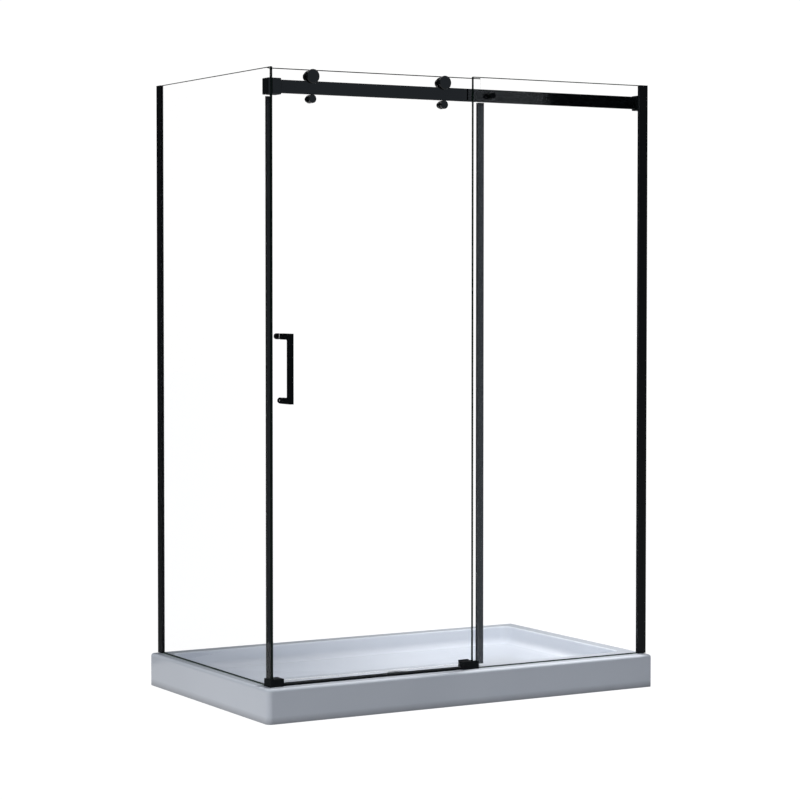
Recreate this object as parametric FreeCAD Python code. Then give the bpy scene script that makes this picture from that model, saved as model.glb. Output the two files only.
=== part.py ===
import FreeCAD, Part
import math
import os

from FreeCAD import Vector

# Corner shower enclosure on a tray: a fixed front panel, a return panel and a sliding door on a top rail.
# Millimetres, +Z up, origin at the middle of the tray's underside, front towards -Y, walls at +X and +Y.

# Tray: a moulded acrylic shell with bonded support battens underneath
tray_width = 1524.0
tray_depth = 914.4
tray_height = 114.3
tray_free_corner = 18.0
tray_wall_corner = 11.0
tray_edge_radius = 10.0
tray_wall = 6.0
side_rim = 58.0
front_rim = 112.0
basin_depth = 60.0
basin_draft = 10.0
basin_fall = 10.0
basin_corner_radius = 34.0
rim_inner_radius = 6.0
floor_radius = 28.0
batten_pitch = 190.0
batten_width = 45.0
battens_each_side = 2
bond_gap = 0.2

# Drain: flanged body clamped through the tray floor, with a socket for the waste pipe
drain_pad = 140.0
drain_flange_radius = 56.0
drain_flange_thickness = 4.0
drain_tail_radius = 44.5
drain_bowl_radius = 40.0
drain_nut_radius = 56.0
drain_nut_height = 9.0
drain_nut_scallops = 8
drain_tail_lift = 8.0
pipe_radius = 30.15
pipe_clearance = 0.25
pipe_wall = 5.0
pipe_socket = 20.0
pipe_stop = 3.0
drain_bowl_slope = 0.25
drain_washer = 1.6
grate_radius = 50.0
grate_thickness = 2.4
grate_hole_radius = 3.2
grate_hole_pitch = 12.5
grate_first_ring = 16.0
grate_ring_step = 12.0
grate_border = 7.0

# Glass
glass_thickness = 8.0
glass_arris = 1.5
glass_top = 2120.0
return_setback = 33.0
fixed_setback = 41.0
fixed_reach = 724.0
glazing_strip = 2.0

# Wall jambs: channels screwed to the walls
jamb_depth = 34.5
jamb_wall = 1.6
jamb_gasket = 0.9
jamb_engagement = 20.0
jamb_screw_radius = 2.6
jamb_outer_inset = 140.0
jamb_inner_inset = 700.0

# Top rail and its brackets
rail_gap = 12.0
rail_thickness = 14.0
rail_height = 43.0
rail_drop = 39.5
rail_chamfer = 1.0
rail_fit = 0.2
gasket = 0.8
clamp_gasket = 1.0
clamp_plate = 7.3
clamp_length = 31.0
clamp_depth = 42.0
clamp_rise = 3.5
clamp_fall = 6.5
clamp_end_wall = 7.0
bracket_length = 38.0
bracket_cheek = 8.0
bracket_rise = 3.5
bracket_fall = 5.5
bracket_end_wall = 11.0
bracket_end_room = 10.0
bracket_screw_spacing = 22.0
metal_edge = 1.5
bolt_radius = 4.0
thread_fit = 0.05
bolt_tip_gap = 1.0
bolt_head_radius = 8.0
bolt_in_rail = 20.0
glass_bush_wall = 3.9
panel_bolt_offset = 77.0
panel_bolt_cap_radius = 10.0
panel_bolt_cap = 8.0
set_screw_radius = 3.0

# Sliding door
door_gap = 10.0
door_side_gap = 6.5
door_lap = 58.5
door_lift = 10.7
edge_profile_leg = 3.0
edge_profile_grip = 12.5
strike_web = 3.1
strike_top_gap = 4.0
strike_lift = 7.7
bulb_room = 0.3
trailing_grip = 11.5
trailing_web = 3.0
trailing_fin = 8.5
trailing_top_gap = 0.8
bottom_seal_leg = 1.0
bottom_seal_grip = 8.0
bottom_seal_lip = 7.0

# Roller hangers
roller_lead_inset = 149.0
roller_trail_inset = 159.3
running_gap = 0.3
tread_radius = 15.5
cap_radius = 23.2
cap_thickness = 7.0
cap_rail_gap = 2.0
cap_spigot_radius = 5.0
cap_spigot = 4.0
wheel_overhang = 0.8
flange_radius = 19.5
flange_thickness = 3.2
flange_gap = 0.8
bearing_radius = 11.0
bearing_width = 7.0
bearing_race_radius = 6.2
bearing_inset = 1.8
running_fit = 0.05
wheel_hub_clearance = 2.0
spacer_radius = 6.0
washer_radius = 20.0
washer_thickness = 2.7
hanger_gasket_radius = 13.0
nut_radius = 15.0
nut_thickness = 8.0
nut_cap = 2.0

# Anti-lift buttons under the rail
lift_gap = 0.5
button_radius = 14.0
button_neck_radius = 9.0
button_reach = 4.0
button_front = 9.5
button_rear = 10.0
button_thread = 20.0
button_cap_radius = 10.0
button_cap = 4.0

# Door handle
handle_inset = 40.5
handle_width = 15.0
handle_bar = 22.0
handle_stand = 48.0
handle_post = 20.0
handle_centres = 209.0
handle_middle = 1145.5
handle_edge = 1.5
handle_corner = 5.0
handle_bolt_radius = 3.0
handle_thread = 18.0
knob_neck_radius = 7.0
knob_neck = 16.0
knob_radius = 10.0
knob_head = 15.0
inner_cap_radius = 10.0
inner_cap = 6.0
cap_skin = 2.0

# Foot block, door guide and threshold
foot_width = 50.0
foot_depth = 47.0
foot_cheek = 6.0
block_nose = 6.0
block_height = 25.5
block_edge = 2.0
block_pad = 1.0
guide_width = 62.0
guide_lead = 38.0
guide_channel_lead = 16.0
guide_lip = 8.0
guide_floor = 2.2
guide_liner = 3.0
guide_run_gap = 0.5
block_screw_radius = 2.1
block_screw_head = 4.2
block_screw_bite = 5.0
sill_depth = 39.0
sill_height = 6.2
sill_step = 2.0
sill_lip = 3.2

SAME_PLACE = 1e-6
AXIS_X = Vector(1, 0, 0)
AXIS_Y = Vector(0, 1, 0)
AXIS_Z = Vector(0, 0, 1)

# Planes that the pieces share
x_left = -tray_width / 2
x_right = tray_width / 2
y_front = -tray_depth / 2
y_back = tray_depth / 2
z_rim = tray_height
return_outer = x_left + return_setback
return_inner = return_outer + glass_thickness
return_middle = return_outer + glass_thickness / 2
fixed_front = y_front + fixed_setback
fixed_back = fixed_front + glass_thickness
fixed_middle = fixed_front + glass_thickness / 2
fixed_left = x_right - fixed_reach
rail_front = fixed_back + rail_gap
rail_back = rail_front + rail_thickness
rail_middle = rail_front + rail_thickness / 2
rail_top = glass_top - rail_drop
rail_bottom = rail_top - rail_height
rail_level = rail_top - rail_height / 2
door_front = rail_back + door_gap
door_back = door_front + glass_thickness
door_left = return_inner + door_side_gap
door_right = fixed_left + door_lap
door_bottom = z_rim + door_lift
panel_bottom = z_rim + glazing_strip
roller_level = rail_top + running_gap + tread_radius
button_level = rail_bottom - lift_gap - button_radius
roller_places = (door_left + roller_lead_inset, door_right - roller_trail_inset)
handle_left = door_left + handle_inset
handle_axis = handle_left + handle_width / 2
handle_levels = (handle_middle + handle_centres / 2, handle_middle - handle_centres / 2)
bolt_hole = bolt_radius + thread_fit
glass_hole = bolt_hole + glass_bush_wall
handle_hole = handle_bolt_radius + thread_fit
handle_glass_hole = handle_hole + glass_bush_wall
bush_fit = thread_fit

pieces = {}


def block(x0, x1, y0, y1, z0, z1):
    """Box between two corners."""
    return Part.makeBox(x1 - x0, y1 - y0, z1 - z0, Vector(x0, y0, z0))


def turned(profile, base, axis, radial):
    """Solid of revolution: the profile lists (radius, distance along the axis from base)."""
    corners = [base + radial * radius + axis * along for radius, along in profile]
    face = Part.Face(Part.makePolygon(corners + corners[:1]))
    return face.revolve(base, axis, 360)


def turned_y(profile, x, z):
    """Turned piece on a line along Y; the profile lists (radius, y)."""
    return turned(profile, Vector(x, 0, z), AXIS_Y, AXIS_X)


def ring_y(x, z, y0, y1, outer, inner):
    """Plain ring or tube on a line along Y."""
    return turned_y([(inner, y0), (outer, y0), (outer, y1), (inner, y1)], x, z)


def hole_y(x, z, y0, y1, radius):
    """Cylinder along Y used as a drill."""
    return Part.makeCylinder(radius, y1 - y0, Vector(x, y0, z), AXIS_Y)


def extruded(corners, run):
    """Prism of a closed outline along a vector."""
    return Part.Face(Part.makePolygon(corners + corners[:1])).extrude(run)


def eased(shape, radius, wanted):
    """Round the edges that a test picks out."""
    return shape.makeFillet(radius, [edge for edge in shape.Edges if wanted(edge)])


def along(edge, axis):
    """True for a straight edge that runs along an axis."""
    if not isinstance(edge.Curve, Part.Line):
        return False
    return abs(abs(edge.tangentAt(edge.FirstParameter).dot(axis)) - 1) < SAME_PLACE


def at_level(edge, level):
    """True for an edge that lies at one height."""
    return max(abs(edge.BoundBox.ZMin - level), abs(edge.BoundBox.ZMax - level)) < SAME_PLACE


def glass_pane(x0, x1, y0, y1, z0, z1):
    """Toughened pane with ground arrises on every edge."""
    pane = block(x0, x1, y0, y1, z0, z1)
    return pane.makeChamfer(glass_arris, pane.Edges)


def rounded_outline(x0, x1, y0, y1, z, radius, front_left):
    """Rectangle with rounded corners as a closed wire; the front left corner has its own radius."""
    corners = [
        (x1 - radius, y0 + radius, radius, -90),
        (x1 - radius, y1 - radius, radius, 0),
        (x0 + radius, y1 - radius, radius, 90),
        (x0 + front_left, y0 + front_left, front_left, 180),
    ]
    arcs = []
    for cx, cy, turn, start in corners:
        angles = [math.radians(start + step) for step in (0, 45, 90)]
        arcs.append([Vector(cx + turn * math.cos(a), cy + turn * math.sin(a), z) for a in angles])
    edges = []
    for corner, following in zip(arcs, arcs[1:] + arcs[:1]):
        edges.append(Part.Arc(*corner).toShape())
        edges.append(Part.LineSegment(corner[2], following[0]).toShape())
    return Part.Wire(edges)


# Tray shell, support battens and the screws' pilot holes

basin_x0 = x_left + side_rim
basin_x1 = x_right - side_rim
basin_y0 = y_front + front_rim
basin_y1 = y_back - side_rim
drain_x = (x_left + x_right) / 2
drain_y = (y_front + y_back) / 2
floor_level = z_rim - basin_depth
pad_level = floor_level - basin_fall
drain_seat = pad_level - drain_flange_thickness - gasket
drain_base = Vector(drain_x, drain_y, 0)


def basin(grow):
    """The basin's space: drafted walls, a floor falling to the drain and the recess for the drain flange."""
    levels = (z_rim, floor_level - grow, pad_level - grow)
    insets = (-grow, basin_draft - grow)
    radius = basin_corner_radius + grow
    outlines = [
        rounded_outline(basin_x0 + i, basin_x1 - i, basin_y0 + i, basin_y1 - i, level, radius, radius)
        for i, level in zip(insets, levels)
    ]
    half = drain_pad / 2 + grow
    sides = (drain_x - half, drain_x + half, drain_y - half, drain_y + half)
    outlines.append(rounded_outline(*sides, levels[2], radius, radius))
    walls = Part.makeLoft(outlines[:2], True, True)
    floor = Part.makeLoft(outlines[1:], True, True)
    recess_radius = drain_flange_radius + 2 * bond_gap + grow
    recess_floor = drain_base + AXIS_Z * (drain_seat - grow)
    recess = Part.makeCylinder(recess_radius, pad_level - drain_seat + grow, recess_floor)
    return walls.fuse([floor, recess]).removeSplitter()


def tray_prism(inset, z0, z1):
    """The tray's outline, drawn in by an inset, between two heights; its free corner is the rounder one."""
    sides = (x_left + inset, x_right - inset, y_front + inset, y_back - inset)
    outline = rounded_outline(*sides, z0, tray_wall_corner - inset, tray_free_corner - inset)
    return Part.Face(outline).extrude(Vector(0, 0, z1 - z0))


def at_basin_mouth(edge):
    """True for an edge where the rim turns down into the basin."""
    box = edge.BoundBox
    inside = min(box.XMin - basin_x0, basin_x1 - box.XMax, box.YMin - basin_y0, basin_y1 - box.YMax)
    return at_level(edge, z_rim) and inside > -SAME_PLACE


def make_tray_shell():
    body = eased(tray_prism(0, 0, z_rim), tray_edge_radius, lambda edge: at_level(edge, z_rim))
    dished = body.cut(basin(0))
    dished = eased(dished, rim_inner_radius, at_basin_mouth)
    dished = eased(dished, floor_radius, lambda edge: at_level(edge, floor_level))
    hollow = tray_prism(tray_wall, 0, z_rim - tray_wall).cut(basin(tray_wall))
    shell = dished.cut(hollow)
    drain_hole = Part.makeCylinder(drain_tail_radius + bond_gap, z_rim, drain_base)
    return shell.cut([drain_hole] + [pilot(place) for place in block_screw_places])


def make_support_battens():
    """Battens along the tray under its floor, cut to the fall of the floor and clear of the drain."""
    inset = tray_wall + bond_gap
    top = floor_level - tray_wall - bond_gap
    underside = basin(tray_wall + bond_gap)
    battens = []
    for step in range(-battens_each_side, battens_each_side):
        middle = drain_y + (step + 0.5) * batten_pitch
        sides = (middle - batten_width / 2, middle + batten_width / 2)
        batten = block(x_left + inset, x_right - inset, sides[0], sides[1], 0, top)
        battens.append(batten.cut(underside))
    return battens


# Drain

def make_drain_body():
    flange_under = drain_seat + gasket
    top = flange_under + drain_flange_thickness
    seat = top - grate_thickness
    bore = pipe_radius + pipe_clearance
    tail_step = drain_tail_lift + pipe_socket / 2
    stop = drain_tail_lift + pipe_socket
    profile = [
        (grate_radius + bond_gap, top),
        (drain_flange_radius, top),
        (drain_flange_radius, flange_under),
        (drain_tail_radius, flange_under),
        (drain_tail_radius, tail_step),
        (bore + pipe_wall, tail_step),
        (bore + pipe_wall, drain_tail_lift),
        (bore, drain_tail_lift),
        (bore, stop),
        (bore - pipe_stop, stop),
        (bore - pipe_stop, stop + pipe_stop),
        (drain_bowl_radius, stop + pipe_stop + (drain_bowl_radius - bore) * drain_bowl_slope),
        (drain_bowl_radius, seat),
        (grate_radius + bond_gap, seat),
    ]
    return turned(profile, drain_base, AXIS_Z, AXIS_X)


def drain_ring(z0, z1, outer, inner):
    return turned([(inner, z0), (outer, z0), (outer, z1), (inner, z1)], drain_base, AXIS_Z, AXIS_X)


drain_under = drain_seat - tray_wall
washer_under = drain_under - drain_washer


def make_drain_gaskets():
    thread = drain_tail_radius + thread_fit
    upper = drain_ring(drain_seat, drain_seat + gasket, drain_flange_radius, thread)
    lower = drain_ring(washer_under, drain_under, drain_nut_radius, thread)
    return [upper, lower]


def make_drain_nut():
    """Lock nut with gripping scallops round its rim."""
    thread = drain_tail_radius + thread_fit
    nut = drain_ring(washer_under - drain_nut_height, washer_under, drain_nut_radius, thread)
    scallop = drain_nut_height / 2
    cutters = []
    for step in range(drain_nut_scallops):
        angle = 2 * math.pi * step / drain_nut_scallops
        place = drain_base + Vector(drain_nut_radius * math.cos(angle), drain_nut_radius * math.sin(angle), 0)
        cutters.append(Part.makeCylinder(scallop, z_rim, place))
    return nut.cut(cutters)


def make_grate():
    top = drain_seat + gasket + drain_flange_thickness
    grate = Part.makeCylinder(grate_radius, grate_thickness, Vector(drain_x, drain_y, top - grate_thickness))
    drills = []
    rings = int((grate_radius - grate_border - grate_first_ring) / grate_ring_step) + 1
    for ring in range(rings):
        ring_radius = grate_first_ring + ring * grate_ring_step
        count = int(2 * math.pi * ring_radius / grate_hole_pitch)
        for step in range(count):
            angle = 2 * math.pi * step / count
            place = drain_base + Vector(ring_radius * math.cos(angle), ring_radius * math.sin(angle), 0)
            drills.append(Part.makeCylinder(grate_hole_radius, z_rim, place))
    return grate.cut(drills)


# Fixed glass, its jambs, gaskets and glazing strips

fixed_right = x_right - jamb_depth + jamb_engagement
return_back = y_back - jamb_depth + jamb_engagement
jamb_inside = glass_thickness / 2 + jamb_gasket
jamb_outside = jamb_inside + jamb_wall
panel_bolt_x = fixed_left + panel_bolt_offset


def make_fixed_panel():
    pane = glass_pane(fixed_left, fixed_right, fixed_front, fixed_back, panel_bottom, glass_top)
    return pane.cut(hole_y(panel_bolt_x, rail_level, fixed_front, fixed_back, glass_hole))


def make_return_panel():
    pane = glass_pane(return_outer, return_inner, fixed_front, return_back, panel_bottom, glass_top)
    return pane.cut(bolt_x(return_outer, return_inner, glass_hole))


def jamb_point(wall, across, out, z):
    """A point of a jamb's section: across the glass and out from the wall that the jamb is on."""
    if wall == "right":
        return Vector(x_right - out, fixed_middle + across, z)
    return Vector(return_middle + across, y_back - out, z)


def make_jamb(wall):
    """Channel with screw holes through its web."""
    section = [
        (-jamb_outside, 0),
        (jamb_outside, 0),
        (jamb_outside, jamb_depth),
        (jamb_inside, jamb_depth),
        (jamb_inside, jamb_wall),
        (-jamb_inside, jamb_wall),
        (-jamb_inside, jamb_depth),
        (-jamb_outside, jamb_depth),
    ]
    channel = extruded([jamb_point(wall, a, o, z_rim) for a, o in section], Vector(0, 0, glass_top - z_rim))
    towards_wall = AXIS_X if wall == "right" else AXIS_Y
    drills = []
    for inset in (jamb_outer_inset, jamb_inner_inset):
        for level in (z_rim + inset, glass_top - inset):
            place = jamb_point(wall, 0, jamb_wall, level)
            drills.append(Part.makeCylinder(jamb_screw_radius, jamb_wall, place, towards_wall))
    return channel.cut(drills)


def make_jamb_gaskets():
    """Vinyl strips pressed in on both faces of the glass in each jamb."""
    strips = []
    for wall in ("left", "right"):
        for side in (-1, 1):
            inner = side * glass_thickness / 2
            outer = side * jamb_inside
            near = jamb_depth - jamb_engagement
            section = [(inner, near), (outer, near), (outer, jamb_depth), (inner, jamb_depth)]
            corners = [jamb_point(wall, a, o, panel_bottom) for a, o in section]
            strips.append(extruded(corners, Vector(0, 0, glass_top - panel_bottom)))
    return strips


def make_glazing_strips():
    """Clear strips that carry the two fixed panes on the tray rim."""
    return [
        block(fixed_left, fixed_right, fixed_front, fixed_back, z_rim, panel_bottom),
        block(return_outer, return_inner, fixed_front, return_back, z_rim, panel_bottom),
    ]


# Top rail with its glass clamp, wall bracket and panel bolt

clamp_x0 = return_inner + clamp_gasket
clamp_x1 = clamp_x0 + clamp_length
clamp_y1 = fixed_front + clamp_depth
clamp_z0 = rail_bottom - clamp_fall
clamp_z1 = rail_top + clamp_rise
rail_x0 = clamp_x0 + clamp_end_wall + rail_fit
bracket_x0 = x_right - bracket_length
rail_x1 = x_right - bracket_end_wall - bracket_end_room


def rail_bar(x0, x1, grow):
    return block(x0, x1, rail_front - grow, rail_back + grow, rail_bottom - grow, rail_top + grow)


def bolt_x(x0, x1, radius):
    return Part.makeCylinder(radius, x1 - x0, Vector(x0, rail_middle, rail_level), AXIS_X)


def make_rail():
    bar = rail_bar(rail_x0, rail_x1, 0)
    bar = bar.makeChamfer(rail_chamfer, [edge for edge in bar.Edges if along(edge, AXIS_X)])
    end_thread = bolt_x(rail_x0, rail_x0 + bolt_in_rail, bolt_hole)
    panel_thread = hole_y(panel_bolt_x, rail_level, rail_front, rail_back, bolt_hole)
    return bar.cut([end_thread, panel_thread])


def make_clamp_block():
    """Inner half of the glass clamp, with the socket that takes the rail's end."""
    body = block(clamp_x0, clamp_x1, fixed_front, clamp_y1, clamp_z0, clamp_z1)
    outer = [edge for edge in body.Edges if edge.BoundBox.XMax > clamp_x0 + clamp_length / 2]
    body = body.makeChamfer(metal_edge, outer)
    socket = rail_bar(clamp_x0 + clamp_end_wall, clamp_x1, rail_fit)
    return body.cut([socket, bolt_x(clamp_x0, clamp_x1, bolt_hole)])


clamp_plate_x1 = return_outer - clamp_gasket
clamp_plate_x0 = clamp_plate_x1 - clamp_plate


def clamp_bolt_profile(grow):
    shank = bolt_radius + grow
    head = bolt_head_radius + grow
    tip = rail_x0 + bolt_in_rail - clamp_plate_x0 - bolt_tip_gap
    return [(0, 0), (head, 0), (shank, bolt_head_radius - bolt_radius), (shank, tip), (0, tip)]


def make_clamp_bolt(grow):
    base = Vector(clamp_plate_x0, rail_middle, rail_level)
    return turned(clamp_bolt_profile(grow), base, AXIS_X, AXIS_Y)


def make_clamp_plate():
    """Outer half of the glass clamp, with a countersunk hole for its bolt."""
    body = block(clamp_plate_x0, clamp_plate_x1, fixed_front, clamp_y1, clamp_z0, clamp_z1)
    outer = [edge for edge in body.Edges if edge.BoundBox.XMin < clamp_plate_x1 - clamp_plate / 2]
    return body.makeChamfer(metal_edge, outer).cut(make_clamp_bolt(thread_fit))


def make_clamp_gaskets():
    pads = []
    for x0, x1 in ((clamp_plate_x1, return_outer), (return_inner, clamp_x0)):
        pad = block(x0, x1, fixed_front, clamp_y1, clamp_z0, clamp_z1)
        pads.append(pad.cut(bolt_x(x0, x1, bolt_hole)))
    return pads


def make_clamp_bush():
    sleeve = bolt_x(return_outer, return_inner, glass_hole - bush_fit)
    return sleeve.cut(bolt_x(return_outer, return_inner, bolt_hole))


bracket_y0 = rail_front - bracket_cheek
bracket_y1 = rail_back + bracket_cheek
bracket_z0 = rail_bottom - bracket_fall
bracket_z1 = rail_top + bracket_rise
set_screw_base = Vector((bracket_x0 + rail_x1) / 2, rail_middle, bracket_z0)


def make_wall_bracket():
    """Block on the wall with a socket for the rail, two wall screw holes and a set screw from below."""
    body = block(bracket_x0, x_right, bracket_y0, bracket_y1, bracket_z0, bracket_z1)
    outer = [edge for edge in body.Edges if edge.BoundBox.XMin < x_right - bracket_length / 2]
    body = body.makeChamfer(metal_edge, outer)
    socket = rail_bar(bracket_x0, x_right - bracket_end_wall, rail_fit)
    drills = [Part.makeCylinder(set_screw_radius + thread_fit, rail_height, set_screw_base)]
    for side in (-1, 1):
        place = Vector(x_right - bracket_end_wall, rail_middle, rail_level + side * bracket_screw_spacing / 2)
        drills.append(Part.makeCylinder(jamb_screw_radius, bracket_end_wall, place, AXIS_X))
    return body.cut([socket] + drills)


def make_set_screw():
    return Part.makeCylinder(set_screw_radius, rail_bottom - bracket_z0, set_screw_base)


def make_panel_bolt():
    """Low round cap in front of the fixed pane, in one piece with the bolt that carries the rail."""
    back = fixed_front - gasket
    front = back - panel_bolt_cap
    cap = panel_bolt_cap_radius
    tip = rail_back - rail_chamfer
    profile = [
        (0, front),
        (cap - metal_edge, front),
        (cap, front + metal_edge),
        (cap, back),
        (bolt_radius, back),
        (bolt_radius, tip),
        (0, tip),
    ]
    return turned_y(profile, panel_bolt_x, rail_level)


def panel_ring(y0, y1, outer):
    return ring_y(panel_bolt_x, rail_level, y0, y1, outer, bolt_hole)


# Corner foot, door guide and threshold on the tray rim

foot_x0 = return_outer - foot_cheek
foot_x1 = foot_x0 + foot_width
foot_y0 = fixed_front - block_nose - block_pad
foot_y1 = foot_y0 + foot_depth
block_top = z_rim + block_height
pad_top = block_top - block_edge
guide_x0 = fixed_left - guide_lead
guide_x1 = guide_x0 + guide_width
seal_front = door_front - bottom_seal_leg
seal_back = door_back + bottom_seal_leg
liner_front = seal_front - guide_run_gap
liner_back = seal_back + guide_run_gap
shoe_y1 = fixed_back + block_pad + block_nose
guide_y1 = liner_front - guide_liner
lip_x0 = fixed_left - guide_channel_lead
lip_y0 = liner_back + guide_liner
block_screw_places = (
    ((clamp_x0 + foot_x1) / 2, (fixed_back + foot_y1) / 2),
    ((guide_x0 + fixed_left) / 2, fixed_middle),
)


def block_screw(place, grow):
    """Countersunk screw from a block's top down into the tray rim."""
    base = Vector(place[0], place[1], block_top)
    head = block_screw_head + grow
    shank = block_screw_radius + grow
    tip = block_height + block_screw_bite
    profile = [(0, 0), (head, 0), (shank, block_screw_head - block_screw_radius), (shank, tip), (0, tip)]
    return turned(profile, base, AXIS_Z * -1, AXIS_X)


def pilot(place):
    """Hole through the tray rim for a block's screw."""
    return Part.makeCylinder(
        block_screw_radius + thread_fit, tray_wall, Vector(place[0], place[1], z_rim - tray_wall)
    )


def make_foot_block():
    """Shoe that holds the return pane's front corner, open to the back for the glass."""
    body = block(foot_x0, foot_x1, foot_y0, foot_y1, z_rim, block_top)
    body = eased(body, block_edge, lambda edge: along(edge, AXIS_Z) or at_level(edge, block_top))
    slot = block(
        return_outer - block_pad, return_inner + block_pad, fixed_front - block_pad, foot_y1, z_rim, block_top
    )
    return body.cut([slot, block_screw(block_screw_places[0], thread_fit)])


def make_foot_pads():
    """Rubber pads between the glass and the foot block's cheeks."""
    spans = ((return_outer - block_pad, return_outer), (return_inner, return_inner + block_pad))
    end = foot_y1 - block_edge
    return [block(x0, x1, fixed_front, end, panel_bottom, pad_top) for x0, x1 in spans]


def make_guide_block():
    """Shoe on the fixed pane's lower corner, with a low channel behind it that the door runs in."""
    nose = fixed_front - block_pad - block_nose
    body = block(guide_x0, guide_x1, nose, shoe_y1, z_rim, block_top)
    body = eased(body, block_edge, lambda edge: along(edge, AXIS_Z) or at_level(edge, block_top))
    lip_x1 = guide_x1 - block_edge
    lip_y1 = lip_y0 + guide_lip
    bridge = block(lip_x0, lip_x1, shoe_y1 - block_edge, lip_y1, z_rim, z_rim + guide_floor)
    spans = ((guide_y1 - guide_lip, guide_y1), (lip_y0, lip_y1))
    lips = [block(lip_x0, lip_x1, y0, y1, z_rim, pad_top) for y0, y1 in spans]
    slot = block(
        fixed_left - block_pad, guide_x1, fixed_front - block_pad, fixed_back + block_pad, z_rim, block_top
    )
    shoe = body.fuse([bridge] + lips).removeSplitter()
    return shoe.cut([slot, block_screw(block_screw_places[1], thread_fit)])


def make_guide_pads():
    """Rubber pads between the fixed pane and the guide block's cheeks."""
    spans = ((fixed_front - block_pad, fixed_front), (fixed_back, fixed_back + block_pad))
    end = guide_x1 - block_edge
    return [block(fixed_left, end, y0, y1, panel_bottom, pad_top) for y0, y1 in spans]


def make_guide_liners():
    """Nylon pads that the door's lower edge runs between."""
    spans = ((guide_y1, liner_front), (liner_back, lip_y0))
    low = z_rim + guide_floor
    high = pad_top - block_edge
    return [block(lip_x0, guide_x1 - block_edge, y0, y1, low, high) for y0, y1 in spans]


def make_sill():
    """Low threshold strip with a stepped front, between the foot block and the guide block."""
    y0 = fixed_front
    section = [
        (y0, 0),
        (y0, sill_lip),
        (y0 + sill_step, sill_lip),
        (y0 + sill_step, sill_height),
        (y0 + sill_depth - sill_height, sill_height),
        (y0 + sill_depth, sill_lip / 2),
        (y0 + sill_depth, 0),
    ]
    return extruded([Vector(foot_x1, y, z_rim + z) for y, z in section], AXIS_X * (guide_x0 - foot_x1))


# Sliding door: pane, edge profiles and seals

hanger_places = [(x, level) for level in (roller_level, button_level) for x in roller_places]
strike_top = clamp_z0 - strike_top_gap
strike_bottom = z_rim + strike_lift
trailing_top = rail_bottom - trailing_top_gap


def make_door_panel():
    pane = glass_pane(door_left, door_right, door_front, door_back, door_bottom, glass_top)
    drills = [hole_y(x, z, door_front, door_back, glass_hole) for x, z in hanger_places]
    drills += [hole_y(handle_axis, z, door_front, door_back, handle_glass_hole) for z in handle_levels]
    return pane.cut(drills)


def edge_channel(section, z0, z1):
    return extruded([Vector(x, y, z0) for x, y in section], Vector(0, 0, z1 - z0))


def make_strike_profile():
    """Channel on the door's leading edge that closes towards the return pane."""
    y0 = door_front - edge_profile_leg
    y1 = door_back + edge_profile_leg
    x0 = door_left - strike_web
    x1 = door_left + edge_profile_grip
    section = [
        (x0, y0),
        (x1, y0),
        (x1, door_front),
        (door_left, door_front),
        (door_left, door_back),
        (x1, door_back),
        (x1, y1),
        (x0, y1),
    ]
    return edge_channel(section, strike_bottom, strike_top)


def make_strike_bulb():
    """Soft half-round strip on the strike profile that meets the return pane."""
    x0 = return_inner + bulb_room
    x1 = door_left - strike_web
    half = glass_thickness / 2
    middle = door_front + half
    front_end = Vector(x1, middle - half, strike_bottom)
    rear_end = Vector(x1, middle + half, strike_bottom)
    arc = Part.Arc(front_end, Vector(x0, middle, strike_bottom), rear_end).toShape()
    back = Part.LineSegment(rear_end, front_end).toShape()
    return Part.Face(Part.Wire([arc, back])).extrude(Vector(0, 0, strike_top - strike_bottom))


def make_trailing_profile():
    """Channel on the door's trailing edge with a fin that laps behind the fixed pane."""
    y0 = door_front - edge_profile_leg
    y1 = door_back + edge_profile_leg
    x0 = door_right - trailing_grip
    x1 = door_right + trailing_web
    x2 = x1 + trailing_fin
    section = [
        (x0, y0),
        (x2, y0),
        (x2, y0 + edge_profile_leg / 2),
        (x1, door_front),
        (x1, y1),
        (x0, y1),
        (x0, door_back),
        (door_right, door_back),
        (door_right, door_front),
        (x0, door_front),
    ]
    return edge_channel(section, strike_bottom, trailing_top)


def make_bottom_seal():
    """Clear channel on the door's lower edge with a drip lip."""
    x0 = door_left + edge_profile_grip
    x1 = door_right - trailing_grip
    under = door_bottom - bottom_seal_leg
    top = door_bottom + bottom_seal_grip
    lip = door_bottom - bottom_seal_lip
    section = [
        (seal_front, top),
        (seal_front, under),
        (door_back, under),
        (door_back, lip),
        (seal_back, lip),
        (seal_back, top),
        (door_back, top),
        (door_back, door_bottom),
        (door_front, door_bottom),
        (door_front, top),
    ]
    return extruded([Vector(x0, y, z) for y, z in section], AXIS_X * (x1 - x0))


# Roller hangers: axle, bearing and wheel on the rail, clamped through the pane

cap_back = rail_front - cap_rail_gap
cap_front = cap_back - cap_thickness
wheel_front = rail_front - wheel_overhang
flange_front = rail_back + flange_gap
wheel_back = flange_front + flange_thickness
bearing_front = wheel_front + bearing_inset
bearing_back = bearing_front + bearing_width
hanger_front = door_front - gasket
washer_front = hanger_front - washer_thickness
hanger_back = door_back + gasket
nut_back = hanger_back + nut_thickness


def make_roller_cap(x):
    """Round cover in front of the wheel, with a blind seat for the axle's spigot."""
    seat = cap_spigot_radius + thread_fit
    profile = [
        (0, cap_front),
        (cap_radius - metal_edge, cap_front),
        (cap_radius, cap_front + metal_edge),
        (cap_radius, cap_back),
        (seat, cap_back),
        (seat, cap_back - cap_spigot),
        (0, cap_back - cap_spigot),
    ]
    return turned_y(profile, x, roller_level)


def make_roller_axle(x):
    tip = nut_back - nut_cap
    profile = [
        (0, cap_back - cap_spigot),
        (cap_spigot_radius, cap_back - cap_spigot),
        (cap_spigot_radius, cap_back),
        (spacer_radius, cap_back),
        (spacer_radius, bearing_front),
        (bolt_radius, bearing_front),
        (bolt_radius, tip),
        (0, tip),
    ]
    return turned_y(profile, x, roller_level)


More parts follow.
